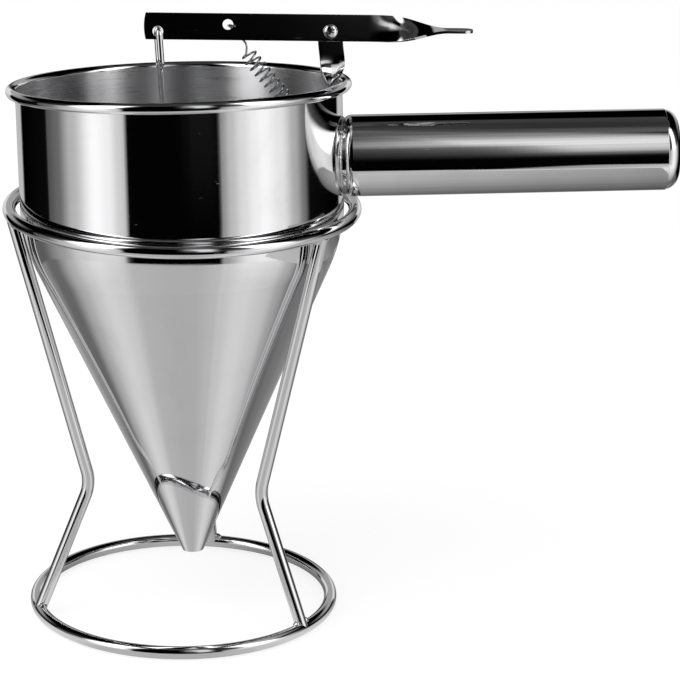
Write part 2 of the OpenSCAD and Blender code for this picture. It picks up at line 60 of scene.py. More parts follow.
BOWL_R, SHEET = 75.4, 0.7
RIM_Z, RIM_CURL = 253.5, 2.55
CONE_SLOPE, CONE_APEX = 0.4602, 20.2
CONE_LEAN = atan(CONE_SLOPE)
TIP_Z, BORE_R, BORE_L, NOZZLE_TOP = 30.8, 3.5, 8.0, 58.0
SHOULDER_Z = CONE_APEX + BOWL_R / CONE_SLOPE + BOWL_R * tan(CONE_LEAN / 2)
CONE_SHEET = SHEET * sqrt(1 + CONE_SLOPE ** 2)

HANDLE_Z = 219.6
TUBE_R, TUBE_START, TUBE_END = 19.0, 79.5, 225.0
NECK_R, CAP_DEPTH = 17.2, 6.9
HANDLE = SEAT @ Matrix.Translation((0, 0, HANDLE_Z)) @ Matrix.Rotation(radians(90), 4, "Y")

PIVOT = Vector((70.4, -1.15, 277.7))
STRIP_T, LEVER_W, LEVER_Z = 1.3, 12.3, 279.25
LEVER_FRONT, LEVER_BACK = -1.8, -0.5
LEVER_LEFT, TWIST_START, TWIST_END, LEVER_TIP = -15.3, 87.7, 124.7, 136.0
HOOK_HOLE = Vector((-8.9, -1.15, 276.8))
SPRING_HOLE = Vector((23.3, -1.15, 280.3))
HOLE_R, PIVOT_BORE = 2.45, 2.96
LEVER_REST = (Matrix.Translation(PIVOT) @ Matrix.Rotation(radians(1.8), 4, "Y")
              @ Matrix.Translation(-PIVOT))

ROD_R, HOOK_BEND, HOOK_TURN, HOOK_LEG = 1.5, 2.5, 14.0, 13.0
PLUG_TOP = 54.5
HOOK_AT = LEVER_REST @ (HOOK_HOLE + Vector((0, 0, HOLE_R - ROD_R - 0.15)))

BRACKET_W, BRACKET_T, BRACKET_Y = 11.6, 1.3, 0.65
PLUMB_X = PIVOT.x + 0.95
WALL_X = sqrt((BOWL_R - SHEET) ** 2 - BRACKET_W ** 2 / 4) - BRACKET_T / 2 - 0.15
LIP_Z, LIP_HOLE_X, LIP_L = 232.3, 59.7, 16.8

SPRING_WIRE_R, SPRING_R, SPRING_TURNS, SPRING_SIDE = 0.5, 3.65, 11.5, 2.9


# ---------------------------------------------------------------- shader groups
def add(nodes, kind, place, **inputs):
    """Shader node with its inputs set."""
    n = nodes.new(kind)
    n.location = place
    for key, value in inputs.items():
        n.inputs[key.replace("_", " ")].default_value = value
    return n


def maths(n, l, operation, *values, clamp=False):
    """Math node whose inputs are sockets or numbers; returns its output."""
    m = n.new("ShaderNodeMath")
    m.operation = operation
    m.use_clamp = clamp
    for at, value in zip(m.inputs, values):
        if isinstance(value, bpy.types.NodeSocket):
            l.new(value, at)
        else:
            at.default_value = value
    return m.outputs[0]


def new_group(name, inputs, outputs):
    """Shader group with its sockets; returns it with its input and output nodes."""
    g = bpy.data.node_groups.new(name, "ShaderNodeTree")
    for label, kind, value in inputs:
        s = g.interface.new_socket(label, in_out="INPUT", socket_type=kind)
        if value is not None:
            s.default_value = value
    for label, kind in outputs:
        g.interface.new_socket(label, in_out="OUTPUT", socket_type=kind)
    return g, g.nodes.new("NodeGroupInput"), g.nodes.new("NodeGroupOutput")


def polish_group():
    """Polishing lines and the slow ripple of worked sheet, as roughness and a normal."""
    g, gi, go = new_group("polish", [
        ("Vector", "NodeSocketVector", None),
        ("Line scale", "NodeSocketFloat", 900.0),
        ("Line stretch", "NodeSocketVector", (0.03, 0.03, 1.0)),
        ("Line depth", "NodeSocketFloat", 0.02),
        ("Ripple scale", "NodeSocketFloat", 14.0),
        ("Ripple depth", "NodeSocketFloat", 0.02),
        ("Rough low", "NodeSocketFloat", 0.03),
        ("Rough high", "NodeSocketFloat", 0.09)],
        [("Roughness", "NodeSocketFloat"), ("Normal", "NodeSocketVector")])
    n, l = g.nodes, g.links
    scaled = n.new("ShaderNodeVectorMath")
    scaled.operation = "MULTIPLY"
    l.new(gi.outputs["Vector"], scaled.inputs[0])
    l.new(gi.outputs["Line stretch"], scaled.inputs[1])
    lines = add(n, "ShaderNodeTexNoise", (-500, 100), Detail=3.0, Roughness=0.6)
    l.new(scaled.outputs[0], lines.inputs["Vector"])
    l.new(gi.outputs["Line scale"], lines.inputs["Scale"])
    ripple = add(n, "ShaderNodeTexNoise", (-500, -200), Detail=1.0, Roughness=0.4)
    l.new(gi.outputs["Vector"], ripple.inputs["Vector"])
    l.new(gi.outputs["Ripple scale"], ripple.inputs["Scale"])
    spread = n.new("ShaderNodeMapRange")
    spread.inputs["From Min"].default_value = 0.3
    spread.inputs["From Max"].default_value = 0.7
    l.new(lines.outputs["Fac"], spread.inputs["Value"])
    l.new(gi.outputs["Rough low"], spread.inputs["To Min"])
    l.new(gi.outputs["Rough high"], spread.inputs["To Max"])
    l.new(spread.outputs["Result"], go.inputs["Roughness"])
    fine = add(n, "ShaderNodeBump", (0, 0), Distance=0.0001)
    l.new(gi.outputs["Line depth"], fine.inputs["Strength"])
    l.new(lines.outputs["Fac"], fine.inputs["Height"])
    slow = add(n, "ShaderNodeBump", (200, 0), Distance=0.002)
    l.new(gi.outputs["Ripple depth"], slow.inputs["Strength"])
    l.new(ripple.outputs["Fac"], slow.inputs["Height"])
    l.new(fine.outputs["Normal"], slow.inputs["Normal"])
    l.new(slow.outputs["Normal"], go.inputs["Normal"])
    return g


def handling_group():
    """Marks of use: soft smudges, and a few hairline scratches, as two masks."""
    g, gi, go = new_group("handling", [
        ("Vector", "NodeSocketVector", None),
        ("Scale", "NodeSocketFloat", 22.0)],
        [("Smudge", "NodeSocketFloat"), ("Scratch", "NodeSocketFloat")])
    n, l = g.nodes, g.links
    cloud = add(n, "ShaderNodeTexNoise", (-400, 0), Detail=5.0, Roughness=0.62, Distortion=0.6)
    l.new(gi.outputs["Vector"], cloud.inputs["Vector"])
    l.new(gi.outputs["Scale"], cloud.inputs["Scale"])
    shape = n.new("ShaderNodeMapRange")
    shape.interpolation_type = "SMOOTHSTEP"
    shape.inputs["From Min"].default_value = 0.48
    shape.inputs["From Max"].default_value = 0.74
    l.new(cloud.outputs["Fac"], shape.inputs["Value"])
    l.new(shape.outputs["Result"], go.inputs["Smudge"])
    drawn = n.new("ShaderNodeMapping")
    drawn.inputs["Rotation"].default_value = (0.5, 0.35, 0.9)
    drawn.inputs["Scale"].default_value = (1.0, 14.0, 9.0)
    l.new(gi.outputs["Vector"], drawn.inputs["Vector"])
    hair = add(n, "ShaderNodeTexNoise", (-400, -300), Scale=70.0, Detail=2.0, Roughness=0.5, Distortion=0.25)
    l.new(drawn.outputs["Vector"], hair.inputs["Vector"])
    thin = n.new("ShaderNodeMapRange")
    thin.inputs["From Min"].default_value = 0.735
    thin.inputs["From Max"].default_value = 0.775
    l.new(hair.outputs["Fac"], thin.inputs["Value"])
    l.new(thin.outputs["Result"], go.inputs["Scratch"])
    return g


POLISH = polish_group()
HANDLING = handling_group()
SCRATCH_ROUGH, SMUDGE_TONE = 0.18, 0.93


def steel(name, colour, rough=(0.03, 0.09), lines=(900.0, 0.02), stretch=(0.03, 0.03, 1.0),
          ripple=(14.0, 0.02), smudge=0.05, leant=True, drawn=0.0):
    """Bare steel; leant turns the pattern with the funnel's axis, drawn spreads light across the lines."""
    m = bpy.data.materials.new(name)
    m.use_nodes = True
    n, l = m.node_tree.nodes, m.node_tree.links
    p = n["Principled BSDF"]
    p.inputs["Metallic"].default_value = 1.0
    where = n.new("ShaderNodeTexCoord")
    place = n.new("ShaderNodeMapping")
    place.vector_type = "TEXTURE"
    place.inputs["Location"].default_value = (SEAT_X * MM, SEAT_Y * MM, SEAT_Z * MM)
    place.inputs["Rotation"].default_value = (LEAN_BACK, LEAN_LEFT, 0) if leant else (0, 0, 0)
    l.new(where.outputs["Object"], place.inputs["Vector"])
    polish = n.new("ShaderNodeGroup")
    polish.node_tree = POLISH
    for key, value in (("Line scale", lines[0]), ("Line stretch", stretch), ("Line depth", lines[1]),
                       ("Ripple scale", ripple[0]), ("Ripple depth", ripple[1]),
                       ("Rough low", rough[0]), ("Rough high", rough[1])):
        polish.inputs[key].default_value = value
    l.new(place.outputs["Vector"], polish.inputs["Vector"])
    use = n.new("ShaderNodeGroup")
    use.node_tree = HANDLING
    l.new(place.outputs["Vector"], use.inputs["Vector"])
    smudged = maths(n, l, "MULTIPLY_ADD", use.outputs["Smudge"], smudge, polish.outputs["Roughness"])
    marked = maths(n, l, "MULTIPLY_ADD", use.outputs["Scratch"], SCRATCH_ROUGH, smudged)
    l.new(marked, p.inputs["Roughness"])
    l.new(polish.outputs["Normal"], p.inputs["Normal"])
    if drawn:
        p.inputs["Anisotropic"].default_value = drawn
        lay = n.new("ShaderNodeTangent")
        lay.direction_type = "UV_MAP"
        lay.uv_map = "lay"
        l.new(lay.outputs["Tangent"], p.inputs["Tangent"])
    tone = n.new("ShaderNodeMix")
    tone.data_type = "RGBA"
    tone.inputs["A"].default_value = (*colour, 1.0)
    tone.inputs["B"].default_value = (*[c * SMUDGE_TONE for c in colour], 1.0)
    l.new(use.outputs["Smudge"], tone.inputs["Factor"])
    l.new(tone.outputs["Result"], p.inputs["Base Color"])
    return m


bowl_steel = steel("bowl_steel", (0.82, 0.82, 0.83), rough=(0.025, 0.06), lines=(1500.0, 0.03),
                   stretch=(0.01, 0.01, 1.0), ripple=(9.0, 0.004), smudge=0.03)
inside_steel = steel("inside_steel", (0.80, 0.80, 0.81), rough=(0.24, 0.34), lines=(1100.0, 0.06),
                     stretch=(0.012, 0.012, 1.0), ripple=(9.0, 0.01), smudge=0.05, drawn=0.92)
cone_steel = steel("cone_steel", (0.80, 0.80, 0.81), rough=(0.02, 0.045), lines=(1300.0, 0.02),
                   stretch=(0.02, 0.02, 1.0), ripple=(11.0, 0.006), smudge=0.02)
handle_steel = steel("handle_steel", (0.80, 0.80, 0.80), rough=(0.025, 0.05), lines=(1500.0, 0.02),
                     stretch=(1.0, 0.02, 0.02), ripple=(12.0, 0.003), smudge=0.03)
wire_polish = steel("wire_polish", (0.80, 0.80, 0.81), rough=(0.02, 0.055), lines=(1500.0, 0.04),
                    stretch=(1.0, 1.0, 1.0), ripple=(60.0, 0.01), leant=False)
strip_polish = steel("strip_polish", (0.78, 0.78, 0.79), rough=(0.03, 0.08), lines=(1300.0, 0.03),
                     stretch=(0.05, 1.0, 1.0), ripple=(30.0, 0.004))
fastener = steel("fastener", (0.76, 0.76, 0.77), rough=(0.10, 0.18), lines=(2500.0, 0.05),
                 stretch=(1.0, 1.0, 1.0), ripple=(90.0, 0.02))
spring_wire = steel("spring_wire", (0.5, 0.5, 0.52), rough=(0.03, 0.07), lines=(3000.0, 0.05),
                    stretch=(1.0, 1.0, 1.0), ripple=(90.0, 0.02))
weld_metal = steel("weld_metal", (0.62, 0.61, 0.60), rough=(0.18, 0.36), lines=(1600.0, 0.3),
                   stretch=(1.0, 1.0, 1.0), ripple=(420.0, 0.25))


# ---------------------------------------------------------------- making pieces
def finished(name, bm, materials, body, nodes=(), place=None, sharp=35.0, fix=True, pick=None,
             lay=False):
    """Turns a bmesh in millimetres into a piece that rides on a body; lay maps height and turn about Z."""
    bmesh.ops.remove_doubles(bm, verts=bm.verts, dist=0.0005)
    if fix:
        bmesh.ops.recalc_face_normals(bm, faces=bm.faces)
    if not isinstance(materials, (list, tuple)):
        materials = [materials]
    for f in bm.faces:
        f.smooth = True
        if pick is not None:
            f.material_index = pick(f)
    for e in bm.edges:
        if len(e.link_faces) == 2 and e.calc_face_angle(0.0) > radians(sharp):
            e.smooth = False
    if lay:
        layer = bm.loops.layers.uv.new("lay")
        for f in bm.faces:
            c = f.calc_center_median()
            middle = atan2(c.y, c.x)
            for loop in f.loops:
                co = loop.vert.co
                a = atan2(co.y, co.x)
                a += 2 * pi * round((middle - a) / (2 * pi))
                loop[layer].uv = (sqrt(co.x ** 2 + co.y ** 2) / 200 + co.z / 200, a / (2 * pi))
    if place is not None:
        bmesh.ops.transform(bm, matrix=place, verts=bm.verts)
    bmesh.ops.scale(bm, vec=(MM, MM, MM), verts=bm.verts)
    me = bpy.data.meshes.new(name)
    bm.to_mesh(me)
    bm.free()
    ob = bpy.data.objects.new(name, me)
    bpy.context.scene.collection.objects.link(ob)
    for m in materials:
        me.materials.append(m)
    if body:
        even = ob.modifiers.new("even_faces", "WEIGHTED_NORMAL")
        even.keep_sharp = True
        even.weight = 100
        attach(ob, body)
    if nodes:
        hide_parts(*nodes)
    return ob


def outline(bm, points, closed=True):
    """Edges through points of (radius, height), to be turned."""
    vs = [bm.verts.new((r, 0.0, z)) for r, z in points]
    for a, b in zip(vs, vs[1:]):
        bm.edges.new((a, b))
    if closed:
        bm.edges.new((vs[-1], vs[0]))
    return vs


def turn(bm, steps=160):
    """Spins every edge of the outline about the Z axis."""
    bmesh.ops.spin(bm, geom=bm.verts[:] + bm.edges[:], cent=(0, 0, 0), axis=(0, 0, 1),
                   angle=2 * pi, steps=steps, use_merge=True)
    bmesh.ops.remove_doubles(bm, verts=bm.verts, dist=0.0005)


def swept(bm, vert, centre, angle, steps):
    """Sweeps a vertex of the outline about a centre in the outline's plane; returns the last one."""
    made = bmesh.ops.spin(bm, geom=[vert], cent=(centre[0], 0, centre[1]), axis=(0, 1, 0),
                          angle=radians(angle), steps=steps, use_merge=False)["geom_last"]
    return [g for g in made if isinstance(g, bmesh.types.BMVert)][0]


def rounded(points, rounds, steps=6):
    """Outline points with the given corners rounded, by bevelling the corners of one face."""
    bm = bmesh.new()
    vs = [bm.verts.new((r, 0.0, z)) for r, z in points]
    bm.faces.new(vs)
    for v, r in zip(vs, rounds):
        if r > 0:
            bmesh.ops.bevel(bm, geom=[v], offset=r, offset_type="OFFSET", affect="VERTICES",
                            segments=steps, profile=0.5, material=-1)
    face = bm.faces[:][0]
    out = [(v.co.x, v.co.z) for v in face.verts]
    bm.free()
    return out


def section(bm, radius, centre, normal, sides=20):
    """A circle of wire, square to its path."""
    turnto = Vector((0, 0, 1)).rotation_difference(Vector(normal)).to_matrix().to_4x4()
    made = bmesh.ops.create_circle(bm, cap_ends=False, radius=radius, segments=sides,
                                   matrix=Matrix.Translation(centre) @ turnto)
    return list({e for v in made["verts"] for e in v.link_edges})


def ring_of(edges):
    """The vertices of the edges."""
    return list({v for e in edges for v in e.verts})


def next_row(bm, edges):
    """Adds one row of faces along the edges; the new row starts where the old one is."""
    made = bmesh.ops.extrude_edge_only(bm, edges=edges)["geom"]
    fresh = {g for g in made if isinstance(g, bmesh.types.BMVert)}
    return [g for g in made if isinstance(g, bmesh.types.BMEdge) and all(v in fresh for v in g.verts)]


def draw_out(bm, edges, by, times=1):
    """Draws the wire's end straight out."""
    for _ in range(times):
        edges = next_row(bm, edges)
        bmesh.ops.translate(bm, vec=Vector(by) / times, verts=ring_of(edges))
    return edges


def bend_round(bm, edges, centre, axis, angle, steps=16):
    """Bends the wire's end about an axis."""
    made = bmesh.ops.spin(bm, geom=edges + ring_of(edges), cent=centre, axis=axis, angle=angle,
                          steps=steps, use_merge=False)["geom_last"]
    return [g for g in made if isinstance(g, bmesh.types.BMEdge)]


def close_end(bm, edges, dome=0.0, steps=5):
    """Closes the wire's end, flat or as a dome of the given height along its path."""
    if dome:
        vs = ring_of(edges)
        middle = sum((v.co for v in vs), Vector()) / len(vs)
        radius = (vs[0].co - middle).length
        normal = (vs[0].co - middle).cross(vs[len(vs) // 3].co - middle)
        if normal.length < 1e-6:
            normal = (vs[0].co - middle).cross(vs[1].co - middle)
        back = [f for e in edges for f in e.link_faces][0].calc_center_median() - middle
        normal = normal.normalized() * (-1 if normal.dot(back) > 0 else 1)
        for k in range(1, steps):
            a = pi / 2 * k / steps
            edges = draw_out(bm, edges, (0, 0, 0))
            for v in ring_of(edges):
                out = v.co - middle
                out -= normal * out.dot(normal)
                v.co = middle + out.normalized() * radius * cos(a) + normal * dome * sin(a)
    bmesh.ops.contextual_create(bm, geom=edges)


def along(bm, path, radius, sides=12):
    """Round wire through the points of a path, closed by flat ends."""
    way = [(path[min(i + 1, len(path) - 1)] - path[max(i - 1, 0)]).normalized() for i in range(len(path))]
    edges = section(bm, radius, path[0], way[0], sides)
    start = list(edges)
    for i in range(1, len(path)):
        edges = next_row(bm, edges)
        step = (Matrix.Translation(path[i]) @ way[i - 1].rotation_difference(way[i]).to_matrix().to_4x4()
                @ Matrix.Translation(-path[i - 1]))
        bmesh.ops.transform(bm, matrix=step, verts=ring_of(edges))
    close_end(bm, edges)
    close_end(bm, start)


# ---------------------------------------------------------------- the stand
def wire_ring(name, radius, height):
    """Closed ring of the stand's wire."""
    bm = bmesh.new()
    edges = section(bm, WIRE_R, (radius, 0, height), (0, 1, 0), 28)
    bmesh.ops.spin(bm, geom=edges + ring_of(edges), cent=(0, 0, 0), axis=(0, 0, 1),
                   angle=2 * pi, steps=192, use_merge=True)
    return finished(name + "_wire", bm, wire_polish, "stand", [name])


def leg_wire(name, azimuth, top_r):
    """One leg: foot outside the lower ring, knee, top under the upper ring."""
    low, high = (atan((BASE_RING_R - KNEE_R) / (KNEE_Z - WIRE_R)),
                 atan((top_r - KNEE_R) / (TOP_RING_Z - KNEE_Z)))
    reach = KNEE_BEND * tan((low + high) / 2)
    foot_dir = Vector((-sin(low), 0, cos(low)))
    top_dir = Vector((sin(high), 0, cos(high)))
    knee = Vector((KNEE_R, 0, KNEE_Z))
    foot = knee - foot_dir * ((KNEE_Z - WIRE_R) / cos(low))
    top = knee + top_dir * ((TOP_RING_Z - 1.6 - KNEE_Z) / cos(high))
    bend_start = knee - foot_dir * reach
    out = (top_dir - foot_dir).normalized()
    centre = knee + out * (KNEE_BEND / cos((low + high) / 2))
    bm = bmesh.new()
    edges = section(bm, WIRE_R, foot, foot_dir, 28)
    start = list(edges)
    edges = draw_out(bm, edges, bend_start - foot, 4)
    edges = bend_round(bm, edges, centre, (0, 1, 0), low + high, 18)
    edges = draw_out(bm, edges, top - (knee + top_dir * reach), 8)
    close_end(bm, edges)
    close_end(bm, start)
    return finished(name + "_wire", bm, wire_polish, "stand", [name],
                    place=Matrix.Rotation(radians(azimuth), 4, "Z"))


def bead(bm, centre, size, turn_by=0.0, seed=0):
    """One lump of weld: a squashed ball with a slightly uneven skin."""
    made = bmesh.ops.create_icosphere(bm, subdivisions=4, radius=1.0)["verts"]
    for v in made:
        w = v.co.copy()
        v.co *= 1 + 0.05 * sin(5 * w.x + seed) * cos(4 * w.y - 2 * seed) + 0.03 * sin(9 * w.z + 3 * seed)
    bmesh.ops.scale(bm, vec=size, verts=made)
    bmesh.ops.rotate(bm, cent=(0, 0, 0), matrix=Matrix.Rotation(radians(turn_by), 3, "Z"), verts=made)
    bmesh.ops.translate(bm, vec=centre, verts=made)


def stand_beads():
    """The weld beads where the legs meet the rings."""
    bm = bmesh.new()
    for k, (azimuth, _) in enumerate(LEGS.values()):
        a = radians(azimuth)
        for side in (-1, 1):
            for r, z in ((TOP_RING_R - 0.6, TOP_RING_Z - 2.7), (BASE_RING_R - 0.8, 2 * WIRE_R - 0.6)):
                bead(bm, (r * cos(a) - side * 3.1 * sin(a), r * sin(a) + side * 3.1 * cos(a), z),
                     (1.9, 2.1, 2.0), azimuth, 1.7 * k + side + z)
    return finished("stand_beads", bm, weld_metal, "stand", ["stand_welds"], sharp=180)


wire_ring("base_ring", BASE_RING_R, WIRE_R)
wire_ring("top_ring", TOP_RING_R, TOP_RING_Z)
for leg_name, (leg_azimuth, leg_top) in LEGS.items():
    leg_wire(leg_name, leg_azimuth, leg_top)
stand_beads()


# ---------------------------------------------------------------- the funnel
def cone_out(z):
    """Outer radius of the cone at a height."""
    return CONE_SLOPE * (z - CONE_APEX)


def cone_in(z):
    """Inner radius of the cone at a height."""
    return cone_out(z) - CONE_SHEET


def faces_in(f):
    """1 for faces that look towards the funnel's axis or up into it."""
    c = f.calc_center_median()
    return 1 if f.normal.x * c.x + f.normal.y * c.y < 0 and c.z < RIM_Z - 1.0 else 0


def bowl():
    """Straight wall above a rounded shoulder, with a rim curled outwards until it nearly closes."""
    bm = bmesh.new()
    inner, curl_x = BOWL_R - SHEET, BOWL_R - SHEET + RIM_CURL
    ends, lows = [], []
    for r in (inner, BOWL_R):
        foot = bm.verts.new((r, 0, SHOULDER_Z))
        lows.append(swept(bm, foot, (0, SHOULDER_Z), degrees(CONE_LEAN), 24))
        middle = foot
        for k in range(1, 7):
            up = bm.verts.new((r, 0, SHOULDER_Z + (RIM_Z - SHOULDER_Z) * k / 6))
            bm.edges.new((middle, up))
            middle = up
        ends.append(swept(bm, middle, (curl_x, RIM_Z), 312, 40))
    bm.edges.new(ends)
    bm.edges.new(lows)
    turn(bm, 256)
    return finished("bowl", bm, [bowl_steel, inside_steel], "funnel", ["bowl_shell"],
                    place=SEAT, pick=faces_in, lay=True)


def cone():
    """The cone's sheet, from the bowl's shoulder down to the nozzle."""
    bm = bmesh.new()
    c, s = cos(CONE_LEAN), sin(CONE_LEAN)
    outline(bm, [(cone_in(NOZZLE_TOP), NOZZLE_TOP), (cone_out(NOZZLE_TOP), NOZZLE_TOP),
                 (BOWL_R * c, SHOULDER_Z - BOWL_R * s),
                 ((BOWL_R - SHEET) * c, SHOULDER_Z - (BOWL_R - SHEET) * s)])
    bmesh.ops.subdivide_edges(bm, edges=[e for e in bm.edges if e.calc_length() > 50], cuts=20)
    turn(bm, 256)
    return finished("cone", bm, [cone_steel, inside_steel], "funnel", ["cone_shell"],
                    place=SEAT, pick=faces_in, lay=True)


def nozzle():
    """Turned nozzle with its seat and bore."""
    bm = bmesh.new()
    seat = TIP_Z + BORE_L
    points = rounded([(BORE_R, TIP_Z), (cone_out(TIP_Z), TIP_Z), (cone_out(NOZZLE_TOP), NOZZLE_TOP),
                      (cone_in(NOZZLE_TOP), NOZZLE_TOP), (cone_in(seat + 12), seat + 12), (BORE_R, seat)],
                     [0.25, 0.3, 0, 0, 0, 0.4], 4)
    outline(bm, points)
    turn(bm, 256)
    return finished("nozzle", bm, [cone_steel, inside_steel], "funnel", ["nozzle_tip"],
                    place=SEAT, pick=faces_in, lay=True)


bowl()
cone()
nozzle()


# ---------------------------------------------------------------- the handle
def handle_tube():
    """Round sheet tube of the handle."""
    bm = bmesh.new()
    inner = TUBE_R - 1.0
    outline(bm, rounded([(inner, TUBE_START), (TUBE_R, TUBE_START), (TUBE_R, TUBE_END), (inner, TUBE_END)],
                        [0, 0, 0.3, 0.2], 4))
    turn(bm, 192)
    return finished("handle_sleeve", bm, handle_steel, "funnel",
                    ["handle_tube"], place=HANDLE)


def end_cap():
    """Cap pressed into the tube's far end."""
    bm = bmesh.new()
    r = TUBE_R - 0.4
    z = TUBE_END
    points = rounded([(0.001, z + CAP_DEPTH), (6.0, z + CAP_DEPTH - 0.1), (r - 0.6, z + CAP_DEPTH - 1.6),
                      (r, z), (17.95, z), (17.95, z - 7), (16.95, z - 7), (16.95, z + 0.5),
                      (13.1, z + 4.6), (0.001, z + 4.6)],
                     [0, 3.0, 4.9, 0, 0, 0, 0, 0, 0, 0], 10)
    outline(bm, points)
    turn(bm, 192)
    bmesh.ops.remove_doubles(bm, verts=bm.verts, dist=0.01)
    return finished("end_cap", bm, handle_steel, "funnel", ["handle_end_cap"], place=HANDLE,
                    sharp=28)


def handle_neck():
    """Rounded shoulder of the tube and its neck, whose near end follows the bowl's wall."""
    bm = bmesh.new()
    corner, into = 4.0, TUBE_START
    dip = degrees(atan2(sqrt(corner ** 2 - (NECK_R - TUBE_R + corner) ** 2), NECK_R - TUBE_R + corner))
    top = bm.verts.new((TUBE_R, 0, into))
    low = swept(bm, top, (TUBE_R - corner, into), dip, 16)
    foot = bm.verts.new((NECK_R, 0, BOWL_R - 0.2))
    bm.edges.new((low, foot))
    turn(bm, 192)
    for v in bm.verts:
        if v.co.z < BOWL_R:
            v.co.z += sqrt(BOWL_R ** 2 - min(v.co.y ** 2, BOWL_R ** 2)) - BOWL_R
    return finished("handle_neck", bm, handle_steel, "funnel",
                    ["handle_root_cap"], place=HANDLE)


def neck_weld():
    """Bead around the neck: its height follows the wall, its width ripples like a run of weld."""
    bm = bmesh.new()
    edges = section(bm, 0.85, (NECK_R + 0.2, 0, 0), (0, 1, 0), 14)
    bmesh.ops.spin(bm, geom=edges + ring_of(edges), cent=(0, 0, 0), axis=(0, 0, 1),
                   angle=2 * pi, steps=288, use_merge=True)
    for v in bm.verts:
        a = atan2(v.co.y, v.co.x)
        middle = Vector((v.co.x, v.co.y, 0)).normalized() * (NECK_R + 0.2)
        v.co = middle + (v.co - middle) * (1 + 0.09 * sin(52 * a) + 0.05 * sin(7 * a + 1.0))
        v.co.z += sqrt(BOWL_R ** 2 - v.co.y ** 2) + 0.1
    return finished("neck_weld", bm, weld_metal, "funnel",
                    ["handle_weld"], place=HANDLE, sharp=180)


handle_tube()
end_cap()
handle_neck()
neck_weld()


# ---------------------------------------------------------------- lever
def ease(t):
    """Smooth step from 0 to 1."""
    t = min(1.0, max(0.0, t))
    return t * t * (3 - 2 * t)


def flat_strip(bm, points, holes):
    """Flat sheet in the XZ plane with round holes; returns the outline's edges in order."""
    vs = [bm.verts.new((x, 0, z)) for x, z in points]
    rim = [bm.edges.new((vs[k], vs[(k + 1) % len(vs)])) for k in range(len(vs))]
    every = list(rim)
    for x, z, r in holes:
        every += section(bm, r, (x, 0, z), (0, 1, 0), 48)
    bmesh.ops.triangle_fill(bm, use_beauty=True, use_dissolve=False, edges=every)
    return rim


def thickened(bm, thickness, round_by=0.22, limit=55.0, segments=2):
    """Gives a flat strip its thickness and rounds its edges."""
    bmesh.ops.recalc_face_normals(bm, faces=bm.faces)
    bmesh.ops.solidify(bm, geom=bm.faces[:], thickness=thickness)
    lines = [e for e in bm.edges if len(e.link_faces) == 2 and e.calc_face_angle(0.0) > radians(limit)]
    bmesh.ops.bevel(bm, geom=lines, offset=round_by, offset_type="OFFSET", affect="EDGES",
                    segments=segments, profile=0.5, material=-1, clamp_overlap=True)


def lever():
    """Strip with its holes, turned flat over a quarter turn and ending in a rounded tab."""
    bm = bmesh.new()
    half, across = LEVER_W / 2, 6
    bow = 24.0
    points = [(TWIST_START, LEVER_Z + half - LEVER_W * k / across) for k in range(across + 1)]
    for k in range(9):
        z = -half + LEVER_W * k / 8
        points.append((LEVER_LEFT + bow - sqrt(bow ** 2 - z ** 2), LEVER_Z + z))
    rim = flat_strip(bm, points, [(HOOK_HOLE.x, HOOK_HOLE.z, HOLE_R), (SPRING_HOLE.x, SPRING_HOLE.z, HOLE_R),
                                  (PIVOT.x, PIVOT.z, PIVOT_BORE)])
    edges = rim[:across]
    steps, x, turned = 44, TWIST_START, 0.0
    for k in range(1, steps + 1):
        new_x = TWIST_START + (TWIST_END - TWIST_START) * k / steps
        angle = 90 * ease(k / steps)
        edges = next_row(bm, edges)
        ring = ring_of(edges)
        bmesh.ops.translate(bm, vec=(new_x - x, 0, 0), verts=ring)
        bmesh.ops.rotate(bm, cent=(new_x, 0, LEVER_Z), verts=ring,
                         matrix=Matrix.Rotation(radians(-(angle - turned)), 3, "X"))
        x, turned = new_x, angle
    tab_r = 4.6
    for sx in [LEVER_TIP - tab_r + tab_r * sin(radians(a)) for a in (0, 20, 40, 55, 68, 79, 87)]:
        edges = next_row(bm, edges)
        ring = ring_of(edges)
        bmesh.ops.translate(bm, vec=(sx - x, 0, 0), verts=ring)
        into = max(0.0, sx - (LEVER_TIP - tab_r))
        wanted = half - tab_r + sqrt(max(0.0, tab_r ** 2 - into ** 2))
        bmesh.ops.scale(bm, vec=(1, wanted / max(v.co.y for v in ring), 1), verts=ring,
                        space=Matrix.Identity(4))
        x = sx
    thickened(bm, STRIP_T)
    flat = [v.co.y for v in bm.verts if v.co.x < 60]
    bmesh.ops.translate(bm, vec=(0, LEVER_FRONT - min(flat), 0), verts=bm.verts)
    return finished("lever_strip", bm, strip_polish, "lever", ["lever_arm"],
                    place=SEAT @ LEVER_REST, sharp=40)


lever()


